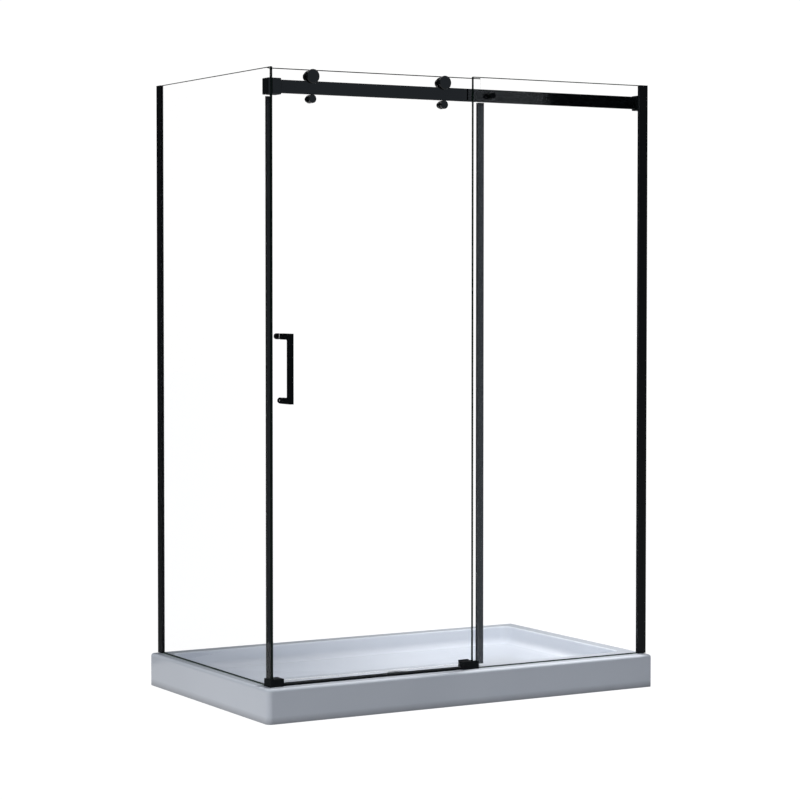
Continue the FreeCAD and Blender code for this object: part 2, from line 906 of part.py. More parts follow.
def make_bearing_inner(x):
    return ring_y(x, roller_level, bearing_front, bearing_back, bearing_race_radius, bolt_hole)


def make_bearing_outer(x):
    inner = bearing_race_radius + running_fit
    return ring_y(x, roller_level, bearing_front, bearing_back, bearing_radius, inner)


def make_wheel(x):
    """Nylon wheel: tread on the rail's top edge, rear flange behind the rail, seat for the bearing."""
    seat = bearing_radius + thread_fit
    hub = spacer_radius + wheel_hub_clearance
    profile = [
        (seat, wheel_front),
        (tread_radius - metal_edge / 2, wheel_front),
        (tread_radius, wheel_front + metal_edge / 2),
        (tread_radius, flange_front),
        (flange_radius, flange_front + metal_edge / 2),
        (flange_radius, wheel_back),
        (hub, wheel_back),
        (hub, bearing_back),
        (seat, bearing_back),
    ]
    return turned_y(profile, x, roller_level)


def make_back_nut(x):
    """Domed blind nut inside the door."""
    profile = [
        (bolt_hole, hanger_back),
        (nut_radius, hanger_back),
        (nut_radius, nut_back - nut_cap),
        (nut_radius - nut_cap, nut_back),
        (0, nut_back),
        (0, nut_back - nut_cap),
        (bolt_hole, nut_back - nut_cap),
    ]
    return turned_y(profile, x, roller_level)


def make_hanger_gaskets():
    rings = []
    rear = min(hanger_gasket_radius, button_cap_radius)
    for x, z in hanger_places:
        rings.append(ring_y(x, z, hanger_front, door_front, hanger_gasket_radius, bolt_hole))
        rings.append(ring_y(x, z, door_back, hanger_back, rear, bolt_hole))
    return rings


def make_hanger_bushes():
    return [ring_y(x, z, door_front, door_back, glass_hole - bush_fit, bolt_hole) for x, z in hanger_places]


# Anti-lift buttons below the rail

def make_button(x):
    """Spool-shaped button: a front disc, a neck and a rear disc, tapped from the back."""
    front = rail_front - button_reach
    neck = front + button_front
    rear = hanger_front - button_rear
    profile = [
        (0, front),
        (button_radius - metal_edge, front),
        (button_radius, front + metal_edge),
        (button_radius, neck),
        (button_neck_radius, neck),
        (button_neck_radius, rear),
        (button_radius, rear),
        (button_radius, hanger_front),
        (bolt_hole, hanger_front),
        (bolt_hole, hanger_front - button_thread),
        (0, hanger_front - button_thread),
    ]
    return turned_y(profile, x, button_level)


def make_button_bolt(x):
    """Low cap inside the door, in one piece with the bolt into the button."""
    tip = hanger_front - button_thread + bolt_tip_gap
    back = hanger_back + button_cap
    profile = [
        (0, tip),
        (bolt_radius, tip),
        (bolt_radius, hanger_back),
        (button_cap_radius, hanger_back),
        (button_cap_radius, back - metal_edge),
        (button_cap_radius - metal_edge, back),
        (0, back),
    ]
    return turned_y(profile, x, button_level)


# Handle

handle_back = door_front - gasket
handle_bar_back = handle_back - handle_stand
handle_bar_front = handle_bar_back - handle_bar
handle_top = handle_levels[0] + handle_post / 2
handle_foot = handle_levels[1] - handle_post / 2


def handle_inner_corner(edge):
    """True for an edge where a post meets the back of the bar."""
    return along(edge, AXIS_X) and abs(edge.BoundBox.YMin - handle_bar_back) < SAME_PLACE


def handle_outer_edge(edge):
    """True for a long edge of the bar or a post."""
    return edge.BoundBox.YMin < handle_back - handle_edge and not along(edge, AXIS_X)


def make_handle():
    """Square-section pull: an upright bar in one piece with its two posts, tapped from the back."""
    section = [
        (handle_bar_front, handle_foot),
        (handle_back, handle_foot),
        (handle_back, handle_foot + handle_post),
        (handle_bar_back, handle_foot + handle_post),
        (handle_bar_back, handle_top - handle_post),
        (handle_back, handle_top - handle_post),
        (handle_back, handle_top),
        (handle_bar_front, handle_top),
    ]
    body = extruded([Vector(handle_left, y, z) for y, z in section], AXIS_X * handle_width)
    body = eased(body, handle_corner, handle_inner_corner)
    body = eased(body, handle_edge, handle_outer_edge)
    threads = [
        hole_y(handle_axis, z, handle_back - handle_thread, handle_back, handle_hole) for z in handle_levels
    ]
    return body.cut(threads)


def make_handle_gaskets():
    """Thin pads under the posts and under the inner fittings."""
    pads = []
    for z, radius in zip(handle_levels, (knob_neck_radius, inner_cap_radius)):
        pad = block(
            handle_left + handle_edge,
            handle_left + handle_width - handle_edge,
            handle_back,
            door_front,
            z - handle_post / 2 + handle_edge,
            z + handle_post / 2 - handle_edge,
        )
        pads.append(pad.cut(hole_y(handle_axis, z, handle_back, door_front, handle_hole)))
        pads.append(ring_y(handle_axis, z, door_back, hanger_back, radius, handle_hole))
    return pads


def make_handle_bushes():
    outer = handle_glass_hole - bush_fit
    return [ring_y(handle_axis, z, door_front, door_back, outer, handle_hole) for z in handle_levels]


def make_handle_bolts():
    tips = (hanger_back + knob_neck, hanger_back + inner_cap - cap_skin)
    start = handle_back - handle_thread + bolt_tip_gap
    return [
        Part.makeCylinder(handle_bolt_radius, tip - start, Vector(handle_axis, start, z), AXIS_Y)
        for z, tip in zip(handle_levels, tips)
    ]


def make_inner_knob():
    """Pull knob inside the door on the upper handle bolt."""
    neck_end = hanger_back + knob_neck
    back = neck_end + knob_head
    profile = [
        (handle_hole, hanger_back),
        (knob_neck_radius, hanger_back),
        (knob_neck_radius, neck_end - metal_edge),
        (knob_radius - metal_edge, neck_end - metal_edge),
        (knob_radius, neck_end),
        (knob_radius, back - metal_edge),
        (knob_radius - metal_edge, back),
        (0, back),
        (0, neck_end),
        (handle_hole, neck_end),
    ]
    return turned_y(profile, handle_axis, handle_levels[0])


def make_inner_cap():
    """Low cap nut inside the door on the lower handle bolt."""
    back = hanger_back + inner_cap
    profile = [
        (handle_hole, hanger_back),
        (inner_cap_radius, hanger_back),
        (inner_cap_radius, back - metal_edge),
        (inner_cap_radius - metal_edge, back),
        (0, back),
        (0, back - cap_skin),
        (handle_hole, back - cap_skin),
    ]
    return turned_y(profile, handle_axis, handle_levels[1])


def both(make):
    """One like piece at each roller place."""
    return [make(x) for x in roller_places]


pieces["tray_shell"] = make_tray_shell()
pieces["tray_support_battens"] = make_support_battens()
pieces["drain_body"] = make_drain_body()
pieces["drain_gaskets"] = make_drain_gaskets()
pieces["drain_lock_nut"] = make_drain_nut()
pieces["drain_grate"] = make_grate()
pieces["return_panel"] = make_return_panel()
pieces["fixed_panel"] = make_fixed_panel()
pieces["left_wall_jamb"] = make_jamb("left")
pieces["right_wall_jamb"] = make_jamb("right")
pieces["jamb_gaskets"] = make_jamb_gaskets()
pieces["glazing_strips"] = make_glazing_strips()
pieces["top_rail"] = make_rail()
pieces["rail_clamp_block"] = make_clamp_block()
pieces["rail_clamp_plate"] = make_clamp_plate()
pieces["rail_clamp_gaskets"] = make_clamp_gaskets()
pieces["rail_clamp_bush"] = make_clamp_bush()
pieces["rail_clamp_bolt"] = make_clamp_bolt(0)
pieces["rail_wall_bracket"] = make_wall_bracket()
pieces["rail_set_screw"] = make_set_screw()
pieces["panel_bolt"] = make_panel_bolt()
pieces["panel_bolt_gaskets"] = [
    panel_ring(fixed_front - gasket, fixed_front, panel_bolt_cap_radius - metal_edge),
    panel_ring(fixed_back, fixed_back + gasket, panel_bolt_cap_radius - metal_edge),
]
pieces["panel_bolt_bush"] = panel_ring(fixed_front, fixed_back, glass_hole - bush_fit)
pieces["panel_bolt_spacer"] = panel_ring(fixed_back + gasket, rail_front, panel_bolt_cap_radius)
pieces["corner_foot_block"] = make_foot_block()
pieces["corner_foot_pads"] = make_foot_pads()
pieces["door_guide_block"] = make_guide_block()
pieces["door_guide_pads"] = make_guide_pads()
pieces["door_guide_liners"] = make_guide_liners()
pieces["block_screws"] = [block_screw(place, 0) for place in block_screw_places]
pieces["threshold_sill"] = make_sill()
pieces["door_panel"] = make_door_panel()
pieces["door_strike_profile"] = make_strike_profile()
pieces["door_strike_bulb"] = make_strike_bulb()
pieces["door_trailing_profile"] = make_trailing_profile()
pieces["door_bottom_seal"] = make_bottom_seal()
pieces["roller_caps"] = both(make_roller_cap)
pieces["roller_axles"] = both(make_roller_axle)
pieces["bearing_inner_rings"] = both(make_bearing_inner)
for side, place in zip(("left", "right"), roller_places):
    pieces[side + "_bearing_outer_ring"] = make_bearing_outer(place)
    pieces[side + "_roller_wheel"] = make_wheel(place)
pieces["roller_spacers"] = [
    ring_y(x, roller_level, bearing_back, washer_front, spacer_radius, bolt_hole) for x in roller_places
]
pieces["roller_washers"] = [
    ring_y(x, roller_level, washer_front, hanger_front, washer_radius, bolt_hole) for x in roller_places
]
pieces["roller_back_nuts"] = both(make_back_nut)
pieces["hanger_gaskets"] = make_hanger_gaskets()
pieces["hanger_bushes"] = make_hanger_bushes()
pieces["anti_lift_buttons"] = both(make_button)
pieces["anti_lift_bolts"] = both(make_button_bolt)
pieces["door_handle"] = make_handle()
pieces["handle_gaskets"] = make_handle_gaskets()
pieces["handle_bushes"] = make_handle_bushes()
pieces["handle_bolts"] = make_handle_bolts()
pieces["handle_inner_knob"] = make_inner_knob()
pieces["handle_inner_cap"] = make_inner_cap()

os.makedirs("parts", exist_ok=True)
for name, piece in pieces.items():
    shape = Part.makeCompound(piece) if isinstance(piece, list) else piece
    shape.exportStep("parts/" + name + ".step")
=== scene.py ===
import math

import bpy
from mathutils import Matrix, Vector


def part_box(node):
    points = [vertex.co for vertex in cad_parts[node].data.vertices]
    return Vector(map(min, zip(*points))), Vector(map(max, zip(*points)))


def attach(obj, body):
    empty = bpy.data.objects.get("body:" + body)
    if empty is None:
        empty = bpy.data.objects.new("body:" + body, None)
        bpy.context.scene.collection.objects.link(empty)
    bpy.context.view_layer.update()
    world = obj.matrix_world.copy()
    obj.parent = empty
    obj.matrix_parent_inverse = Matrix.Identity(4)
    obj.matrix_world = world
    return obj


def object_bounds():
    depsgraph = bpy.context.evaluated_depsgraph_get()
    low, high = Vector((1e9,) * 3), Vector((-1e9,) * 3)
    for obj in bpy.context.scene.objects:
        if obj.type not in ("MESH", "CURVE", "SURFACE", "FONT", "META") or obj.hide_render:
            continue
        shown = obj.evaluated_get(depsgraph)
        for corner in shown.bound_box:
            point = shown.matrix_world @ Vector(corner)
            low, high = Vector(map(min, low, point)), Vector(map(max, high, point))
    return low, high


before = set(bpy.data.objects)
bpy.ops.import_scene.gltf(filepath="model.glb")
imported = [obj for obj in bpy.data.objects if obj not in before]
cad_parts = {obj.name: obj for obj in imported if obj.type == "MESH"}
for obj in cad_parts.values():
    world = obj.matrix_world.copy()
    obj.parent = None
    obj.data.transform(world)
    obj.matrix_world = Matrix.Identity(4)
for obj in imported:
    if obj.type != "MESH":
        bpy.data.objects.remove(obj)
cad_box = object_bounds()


# Tray shell: one sheet of white sanitary acrylic, vacuum-formed into rim, skirt and dished basin.
# The mould gives a soft gloss, and the stretched sheet keeps a faint orange peel and clouding.
# Its foot carries a painted shade: the colour turns greyer over the last two centimetres, where the skirt
# meets the floor.

def linear(hex_colour):
    """Turns an sRGB hex colour into the linear RGBA that a shader socket takes."""
    channels = [int(hex_colour[at:at + 2], 16) / 255 for at in (1, 3, 5)]
    return [c / 12.92 if c <= 0.04045 else ((c + 0.055) / 1.055) ** 2.4 for c in channels] + [1.0]


def add_node(tree, kind, inputs=(), **settings):
    """Adds a node: settings are its own properties, inputs go by socket identifier to a value, a node
    (its first output in use) or one of its output sockets."""
    made = tree.nodes.new(kind)
    for name, value in settings.items():
        setattr(made, name, value)
    sockets = {socket.identifier: socket for socket in made.inputs}
    for name, value in dict(inputs).items():
        if isinstance(value, bpy.types.Node):
            value = next(output for output in value.outputs if output.enabled)
        if isinstance(value, bpy.types.NodeSocket):
            tree.links.new(value, sockets[name])
        else:
            sockets[name].default_value = value
    return made


def start_material(name):
    """Makes an empty node material, and returns its tree and the place on the object in metres."""
    material = bpy.data.materials.new(name)
    material.use_nodes = True
    material.node_tree.nodes.clear()
    place = add_node(material.node_tree, "ShaderNodeTexCoord").outputs["Object"]
    return material, material.node_tree, place


def per_metre(size_mm):
    """The texture scale at which a pattern repeats about every size_mm."""
    return 1000 / size_mm


def dress(material, *names):
    """Puts a material on the named CAD nodes."""
    for name in names:
        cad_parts[name].data.materials[0] = material


acrylic, tree, place = start_material("Sanitary_acrylic_vacuum_formed")
clouding = add_node(tree, "ShaderNodeTexNoise", {"Vector": place, "Scale": per_metre(260), "Detail": 2.0})
peel = add_node(tree, "ShaderNodeTexNoise", {"Vector": place, "Scale": per_metre(18), "Detail": 1.0})
tint = add_node(
    tree, "ShaderNodeMix",
    {"Factor_Float": clouding, "A_Color": linear("#dfe4ec"), "B_Color": linear("#e8ecf3")},
    data_type="RGBA",
)
# Painted shade: the colour darkens to grey over the lowest 24 mm of the tray, where it meets the floor.
height = add_node(tree, "ShaderNodeSeparateXYZ", {"Vector": place}).outputs["Z"]
above_painted_foot_shade = add_node(tree, "ShaderNodeMapRange", {"Value": height, "From Min": 0.0, "From Max": 0.024})
tint_with_painted_foot_shade = add_node(
    tree, "ShaderNodeMix",
    {"Factor_Float": above_painted_foot_shade, "A_Color": linear("#b0b3b9"), "B_Color": tint},
    data_type="RGBA",
)
gloss = add_node(tree, "ShaderNodeMapRange", {"Value": clouding, "To Min": 0.11, "To Max": 0.16})
relief = add_node(tree, "ShaderNodeBump", {"Height": peel, "Strength": 0.5, "Distance": 0.00004})
shader = add_node(
    tree, "ShaderNodeBsdfPrincipled",
    {"Base Color": tint_with_painted_foot_shade, "Roughness": gloss, "Specular IOR Level": 0.25, "Normal": relief},
)
add_node(tree, "ShaderNodeOutputMaterial", {"Surface": shader})
dress(acrylic, "tray_shell")


# Support battens: four lengths of planed softwood bonded under the tray floor, along the tray.
# The grain runs with the batten as pale early wood and darker late wood a few millimetres apart.

softwood, tree, place = start_material("Planed_softwood")
along_grain = add_node(
    tree, "ShaderNodeMapping",
    {"Vector": place, "Scale": (per_metre(400), per_metre(9), per_metre(9))},
)
rings = add_node(
    tree, "ShaderNodeTexNoise",
    {"Vector": along_grain, "Scale": 1.0, "Detail": 4.0, "Distortion": 0.6},
)
tint = add_node(
    tree, "ShaderNodeMix",
    {"Factor_Float": rings, "A_Color": linear("#d2b283"), "B_Color": linear("#a97f4d")},
    data_type="RGBA",
)
relief = add_node(tree, "ShaderNodeBump", {"Height": rings, "Strength": 0.4, "Distance": 0.0004})
shader = add_node(
    tree, "ShaderNodeBsdfPrincipled",
    {"Base Color": tint, "Roughness": 0.7, "Normal": relief},
)
add_node(tree, "ShaderNodeOutputMaterial", {"Surface": shader})
dress(softwood, "tray_support_battens")


# Waste: a flanged body and its lock nut, moulded in light grey polypropylene and clamped through the floor.
# The mould's fine spark texture leaves a soft sheen.

polypropylene, tree, place = start_material("Moulded_polypropylene_grey")
spark = add_node(tree, "ShaderNodeTexNoise", {"Vector": place, "Scale": per_metre(1.2), "Detail": 3.0})
tint = add_node(
    tree, "ShaderNodeMix",
    {"Factor_Float": spark, "A_Color": linear("#b9bcbe"), "B_Color": linear("#c9cccd")},
    data_type="RGBA",
)
relief = add_node(tree, "ShaderNodeBump", {"Height": spark, "Strength": 0.3, "Distance": 0.00005})
shader = add_node(
    tree, "ShaderNodeBsdfPrincipled",
    {"Base Color": tint, "Roughness": 0.42, "IOR": 1.49, "Normal": relief},
)
add_node(tree, "ShaderNodeOutputMaterial", {"Surface": shader})
dress(polypropylene, "drain_body", "drain_lock_nut")


# Rubber rings and pads: cut and moulded black EPDM between every fitting and the glass or the tray.
# Talc from the mould greys it unevenly, and it has almost no gloss.

rubber, tree, place = start_material("Moulded_EPDM_rubber_black")
talc = add_node(tree, "ShaderNodeTexNoise", {"Vector": place, "Scale": per_metre(2.5), "Detail": 4.0})
tint = add_node(
    tree, "ShaderNodeMix",
    {"Factor_Float": talc, "A_Color": linear("#141516"), "B_Color": linear("#202123")},
    data_type="RGBA",
)
relief = add_node(tree, "ShaderNodeBump", {"Height": talc, "Strength": 0.4, "Distance": 0.00006})
shader = add_node(
    tree, "ShaderNodeBsdfPrincipled",
    {"Base Color": tint, "Roughness": 0.75, "Specular IOR Level": 0.25, "Normal": relief},
)
add_node(tree, "ShaderNodeOutputMaterial", {"Surface": shader})
dress(
    rubber, "drain_gaskets", "rail_clamp_gaskets", "panel_bolt_gaskets", "hanger_gaskets", "handle_gaskets",
    "corner_foot_pads", "door_guide_pads", "door_strike_bulb",
)


# Grate, axles, bearing rings and bolts: bare stainless steel, pressed or turned.
# The tool marks are a tenth of a millimetre apart. They are drawn at 0.6 mm so that they show.

stainless, tree, place = start_material("Turned_stainless_steel")
tool_marks = add_node(
    tree, "ShaderNodeMapping",
    {"Vector": place, "Scale": (per_metre(0.6), per_metre(30), per_metre(0.6))},
)
marks = add_node(tree, "ShaderNodeTexNoise", {"Vector": tool_marks, "Scale": 1.0, "Detail": 2.0})
tint = add_node(
    tree, "ShaderNodeMix",
    {"Factor_Float": marks, "A_Color": linear("#9c9fa1"), "B_Color": linear("#c2c4c6")},
    data_type="RGBA",
)
gloss = add_node(tree, "ShaderNodeMapRange", {"Value": marks, "To Min": 0.22, "To Max": 0.36})
relief = add_node(tree, "ShaderNodeBump", {"Height": marks, "Strength": 0.3, "Distance": 0.00003})
shader = add_node(
    tree, "ShaderNodeBsdfPrincipled",
    {"Base Color": tint, "Metallic": 1.0, "Roughness": gloss, "Normal": relief},
)
add_node(tree, "ShaderNodeOutputMaterial", {"Surface": shader})
dress(
    stainless, "drain_grate", "roller_axles", "roller_spacers", "handle_bolts", "rail_set_screw",
    "bearing_inner_rings", "left_bearing_outer_ring", "right_bearing_outer_ring",
)


# Wall jambs and the rail's wall bracket: aluminium, extruded or die-cast, powder-coated satin black.
# The cured powder leaves a grit of about 0.3 mm. It is drawn at 2 mm so that it shows.

powder_coat, tree, place = start_material("Powder_coated_aluminium_black")
grit = add_node(tree, "ShaderNodeTexNoise", {"Vector": place, "Scale": per_metre(2), "Detail": 3.0})
tint = add_node(
    tree, "ShaderNodeMix",
    {"Factor_Float": grit, "A_Color": linear("#0e1012"), "B_Color": linear("#15181a")},
    data_type="RGBA",
)
gloss = add_node(tree, "ShaderNodeMapRange", {"Value": grit, "To Min": 0.34, "To Max": 0.46})
relief = add_node(tree, "ShaderNodeBump", {"Height": grit, "Strength": 0.3, "Distance": 0.00004})
shader = add_node(
    tree, "ShaderNodeBsdfPrincipled",
    {"Base Color": tint, "Roughness": gloss, "Specular IOR Level": 0.09, "Normal": relief},
)
add_node(tree, "ShaderNodeOutputMaterial", {"Surface": shader})
dress(powder_coat, "left_wall_jamb", "right_wall_jamb", "rail_wall_bracket")


# Shoes, sill and their screws: die-cast and extruded aluminium and turned steel, screwed or bonded to the rim.
# They are coated dead matt. The coat is a little uneven, in patches of about a centimetre.

dead_matt, tree, place = start_material("Matt_coated_aluminium_black")
patches = add_node(tree, "ShaderNodeTexNoise", {"Vector": place, "Scale": per_metre(10), "Detail": 3.0})
tint = add_node(
    tree, "ShaderNodeMix",
    {"Factor_Float": patches, "A_Color": linear("#131517"), "B_Color": linear("#1c1f21")},
    data_type="RGBA",
)
gloss = add_node(tree, "ShaderNodeMapRange", {"Value": patches, "To Min": 0.5, "To Max": 0.65})
shader = add_node(
    tree, "ShaderNodeBsdfPrincipled",
    {"Base Color": tint, "Roughness": gloss, "Specular IOR Level": 0.03},
)
add_node(tree, "ShaderNodeOutputMaterial", {"Surface": shader})
dress(dead_matt, "corner_foot_block", "door_guide_block", "threshold_sill", "block_screws")


# Jamb gaskets and the door's strike profile: extruded black vinyl, pushed into the channel or on the glass.
# The die draws faint lines along the length, and the surface is matt.

black_vinyl, tree, place = start_material("Extruded_vinyl_black")
along_die = add_node(
    tree, "ShaderNodeMapping",
    {"Vector": place, "Scale": (per_metre(1.5), per_metre(1.5), per_metre(350))},
)
die_lines = add_node(tree, "ShaderNodeTexNoise", {"Vector": along_die, "Scale": 1.0, "Detail": 2.0})
tint = add_node(
    tree, "ShaderNodeMix",
    {"Factor_Float": die_lines, "A_Color": linear("#383a3d"), "B_Color": linear("#434548")},
    data_type="RGBA",
)
gloss = add_node(tree, "ShaderNodeMapRange", {"Value": die_lines, "To Min": 0.38, "To Max": 0.5})
relief = add_node(tree, "ShaderNodeBump", {"Height": die_lines, "Strength": 0.3, "Distance": 0.00005})
shader = add_node(
    tree, "ShaderNodeBsdfPrincipled",
    {"Base Color": tint, "Roughness": gloss, "Specular IOR Level": 0.025, "Normal": relief},
)
add_node(tree, "ShaderNodeOutputMaterial", {"Surface": shader})
dress(black_vinyl, "jamb_gaskets", "door_strike_profile")


# Door's trailing profile: extruded vinyl as well, in charcoal, pushed on the door's right edge.
# It is a softer and paler grade that wipes along the fixed pane. Its die lines run up the profile too.

charcoal_vinyl, tree, place = start_material("Extruded_vinyl_charcoal")
along_die = add_node(
    tree, "ShaderNodeMapping",
    {"Vector": place, "Scale": (per_metre(1.5), per_metre(1.5), per_metre(350))},
)
die_lines = add_node(tree, "ShaderNodeTexNoise", {"Vector": along_die, "Scale": 1.0, "Detail": 2.0})
tint = add_node(
    tree, "ShaderNodeMix",
    {"Factor_Float": die_lines, "A_Color": linear("#505356"), "B_Color": linear("#606366")},
    data_type="RGBA",
)
shader = add_node(
    tree, "ShaderNodeBsdfPrincipled",
    {"Base Color": tint, "Roughness": 0.55, "Specular IOR Level": 0.15},
)
add_node(tree, "ShaderNodeOutputMaterial", {"Surface": shader})
dress(charcoal_vinyl, "door_trailing_profile")


# Panes: 8 mm toughened clear float glass, the two fixed ones and the door, cut, ground, holed and polished.
# Toughening leaves a long roller wave. The faces hardly mirror, and the thick edges look green-black.

glass, tree, place = start_material("Toughened_float_glass")
roller_wave = add_node(tree, "ShaderNodeTexNoise", {"Vector": place, "Scale": per_metre(300), "Detail": 0.0})
relief = add_node(tree, "ShaderNodeBump", {"Height": roller_wave, "Strength": 0.2, "Distance": 0.00005})
# The index starts at 1.52 and is lowered until black fittings behind a pane stay as dark as they are.
shader = add_node(
    tree, "ShaderNodeBsdfPrincipled",
    {
        "Base Color": linear("#ffffff"), "Roughness": 0.0, "IOR": 1.08, "Transmission Weight": 1.0,
        "Normal": relief,
    },
)
ray = add_node(tree, "ShaderNodeLightPath")
clear = add_node(tree, "ShaderNodeBsdfTransparent")
lamps_pass = add_node(
    tree, "ShaderNodeMixShader",
    {"Fac": ray.outputs["Is Shadow Ray"], "Shader": shader, "Shader_001": clear},
)
daylight_passes = add_node(
    tree, "ShaderNodeMixShader",
    {"Fac": ray.outputs["Is Diffuse Ray"], "Shader": lamps_pass, "Shader_001": clear},
)
add_node(tree, "ShaderNodeOutputMaterial", {"Surface": daylight_passes})

glass_edge, tree, place = start_material("Polished_glass_edge")
grind = add_node(tree, "ShaderNodeTexNoise", {"Vector": place, "Scale": per_metre(12), "Detail": 3.0})
tint = add_node(
    tree, "ShaderNodeMix",
    {"Factor_Float": grind, "A_Color": linear("#060d0a"), "B_Color": linear("#0f211a")},
    data_type="RGBA",
)
gloss = add_node(tree, "ShaderNodeMapRange", {"Value": grind, "To Min": 0.12, "To Max": 0.24})
shader = add_node(
    tree, "ShaderNodeBsdfPrincipled",
    {"Base Color": tint, "Roughness": gloss, "Specular IOR Level": 0.05},
)
add_node(tree, "ShaderNodeOutputMaterial", {"Surface": shader})

# The door's sides and foot sit in their seals, so only its top edge, whose faces look up, is dark.
SQUARE_ON = 0.99
ANY_WAY = -1
UPWARDS = 0.5
dress(glass, "return_panel", "fixed_panel", "door_panel")
EDGES = (("return_panel", 0, ANY_WAY), ("fixed_panel", 1, ANY_WAY), ("door_panel", 1, UPWARDS))
for pane, across, lowest in EDGES:
    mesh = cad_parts[pane].data
    mesh.materials.append(glass_edge)
    for face in mesh.polygons:
        edge = abs(face.normal[across]) < SQUARE_ON and face.normal.z > lowest
        face.material_index = int(edge)

# A thick edge is mirrored in the pane's faces, so it looks wider than it is. Dark bands beside it are a
# painted reflection of that edge.
BAND = 0.002
SIDE_BAND = 0.0035
ARRIS = 0.0015
OFF_FACE = 0.0001
BODY_OF_PANE = {"return_panel": "enclosure", "fixed_panel": "enclosure", "door_panel": "door"}


def paint_edge_reflection(name, low, high):
    """A flat dark band, a painted reflection of the pane's edge, between two corners just off a pane's face.
    It rides the pane's body.
    """
    across = min(range(3), key=lambda axis: high[axis] - low[axis])
    one, other = [axis for axis in range(3) if axis != across]
    corners = []
    for first, second in ((low, low), (high, low), (high, high), (low, high)):
        corner = list(low)
        corner[one] = first[one]
        corner[other] = second[other]
        corners.append(corner)
    mesh = bpy.data.meshes.new(name)
    mesh.from_pydata(corners, [], [(0, 1, 2, 3)])
    mesh.materials.append(glass_edge)
    band = bpy.data.objects.new(name, mesh)
    bpy.context.collection.objects.link(band)
    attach(band, BODY_OF_PANE[name.split(".")[0]])


# The painted reflection bands end at the arrises, and where a shoe, a jamb or the rail's clamp covers the
# edge.
low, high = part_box("fixed_panel")
front = low.y - OFF_FACE
side, top = low.x + ARRIS, high.z - ARRIS
shoe_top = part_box("door_guide_block")[1].z
jamb_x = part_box("right_wall_jamb")[0].x
paint_edge_reflection("fixed_panel.side_band", (side, front, shoe_top), (side + BAND, front, top))
paint_edge_reflection("fixed_panel.top_band", (side, front, top - BAND), (jamb_x, front, top))
low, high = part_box("door_panel")
front = low.y - OFF_FACE
side, top = low.x + ARRIS, high.z - ARRIS
paint_edge_reflection("door_panel.top_band", (side, front, top - BAND), (high.x - ARRIS, front, top))
low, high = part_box("return_panel")
left = low.x - OFF_FACE
side, top = low.y + ARRIS, high.z - ARRIS
shoe_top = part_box("corner_foot_block")[1].z
clamp_low, clamp_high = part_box("rail_clamp_plate")
jamb_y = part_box("left_wall_jamb")[0].y
paint_edge_reflection("return_panel.low_band", (left, side, shoe_top), (left, side + SIDE_BAND, clamp_low.z))
paint_edge_reflection("return_panel.high_band", (left, side, clamp_high.z), (left, side + SIDE_BAND, top))
paint_edge_reflection("return_panel.top_band", (left, side, top - BAND), (left, jamb_y, top))


# Door's bottom seal: extruded clear vinyl, pushed on the foot of the glass, with a lip that wipes the sill.
# The die draws faint lines along it. It is so clear that the floor of the tray shows through it.

clear_vinyl, tree, place = start_material("Extruded_vinyl_clear")
along_die = add_node(
    tree, "ShaderNodeMapping",
    {"Vector": place, "Scale": (per_metre(250), per_metre(1.2), per_metre(1.2))},
)
die_lines = add_node(tree, "ShaderNodeTexNoise", {"Vector": along_die, "Scale": 1.0, "Detail": 2.0})
tint = add_node(
    tree, "ShaderNodeMix",
    {"Factor_Float": die_lines, "A_Color": linear("#b4bab8"), "B_Color": linear("#c6cbc9")},
    data_type="RGBA",
)
haze = add_node(tree, "ShaderNodeMapRange", {"Value": die_lines, "To Min": 0.015, "To Max": 0.035})
shader = add_node(
    tree, "ShaderNodeBsdfPrincipled",
    {"Base Color": tint, "Roughness": 0.25, "Specular IOR Level": 0.2, "Alpha": haze},
)
add_node(tree, "ShaderNodeOutputMaterial", {"Surface": shader})
dress(clear_vinyl, "door_bottom_seal")


# Glazing strips: extruded vinyl under the two fixed panes, smoke grey with the green of the glass in it.
# The panes' weight presses them flat on the rim, and die lines run along them.

smoke_vinyl, tree, place = start_material("Extruded_vinyl_smoke")
die_lines = add_node(tree, "ShaderNodeTexNoise", {"Vector": place, "Scale": per_metre(40), "Detail": 3.0})
tint = add_node(
    tree, "ShaderNodeMix",
    {"Factor_Float": die_lines, "A_Color": linear("#58635d"), "B_Color": linear("#6b7771")},
    data_type="RGBA",
)
shader = add_node(
    tree, "ShaderNodeBsdfPrincipled",
    {"Base Color": tint, "Roughness": 0.5, "Specular IOR Level": 0.1},
)
add_node(tree, "ShaderNodeOutputMaterial", {"Surface": shader})
dress(smoke_vinyl, "glazing_strips")


# Top rail, its clamp, rollers and screws: steel, drawn, milled or turned, then coated black and left smooth.
# The coat mirrors faintly, and fine drawing lines run along the rail.

black_steel, tree, place = start_material("Black_coated_steel")
along_draw = add_node(
    tree, "ShaderNodeMapping",
    {"Vector": place, "Scale": (per_metre(300), per_metre(1.5), per_metre(1.5))},
)
draw_lines = add_node(tree, "ShaderNodeTexNoise", {"Vector": along_draw, "Scale": 1.0, "Detail": 2.0})
tint = add_node(
    tree, "ShaderNodeMix",
    {"Factor_Float": draw_lines, "A_Color": linear("#0c0e10"), "B_Color": linear("#131618")},
    data_type="RGBA",
)
gloss = add_node(tree, "ShaderNodeMapRange", {"Value": draw_lines, "To Min": 0.03, "To Max": 0.06})
shader = add_node(
    tree, "ShaderNodeBsdfPrincipled",
    {"Base Color": tint, "Roughness": gloss, "Specular IOR Level": 0.27},
)
add_node(tree, "ShaderNodeOutputMaterial", {"Surface": shader})
dress(
    black_steel, "top_rail", "rail_clamp_block", "rail_clamp_plate", "rail_clamp_bolt", "panel_bolt_spacer",
    "roller_caps", "roller_washers", "roller_back_nuts", "anti_lift_buttons", "anti_lift_bolts",
)


# Handle, its inner knob and the pane's bolt: bent and turned steel, coated black and left matt.
# Handling rubs the coat a little, in patches of a few centimetres.

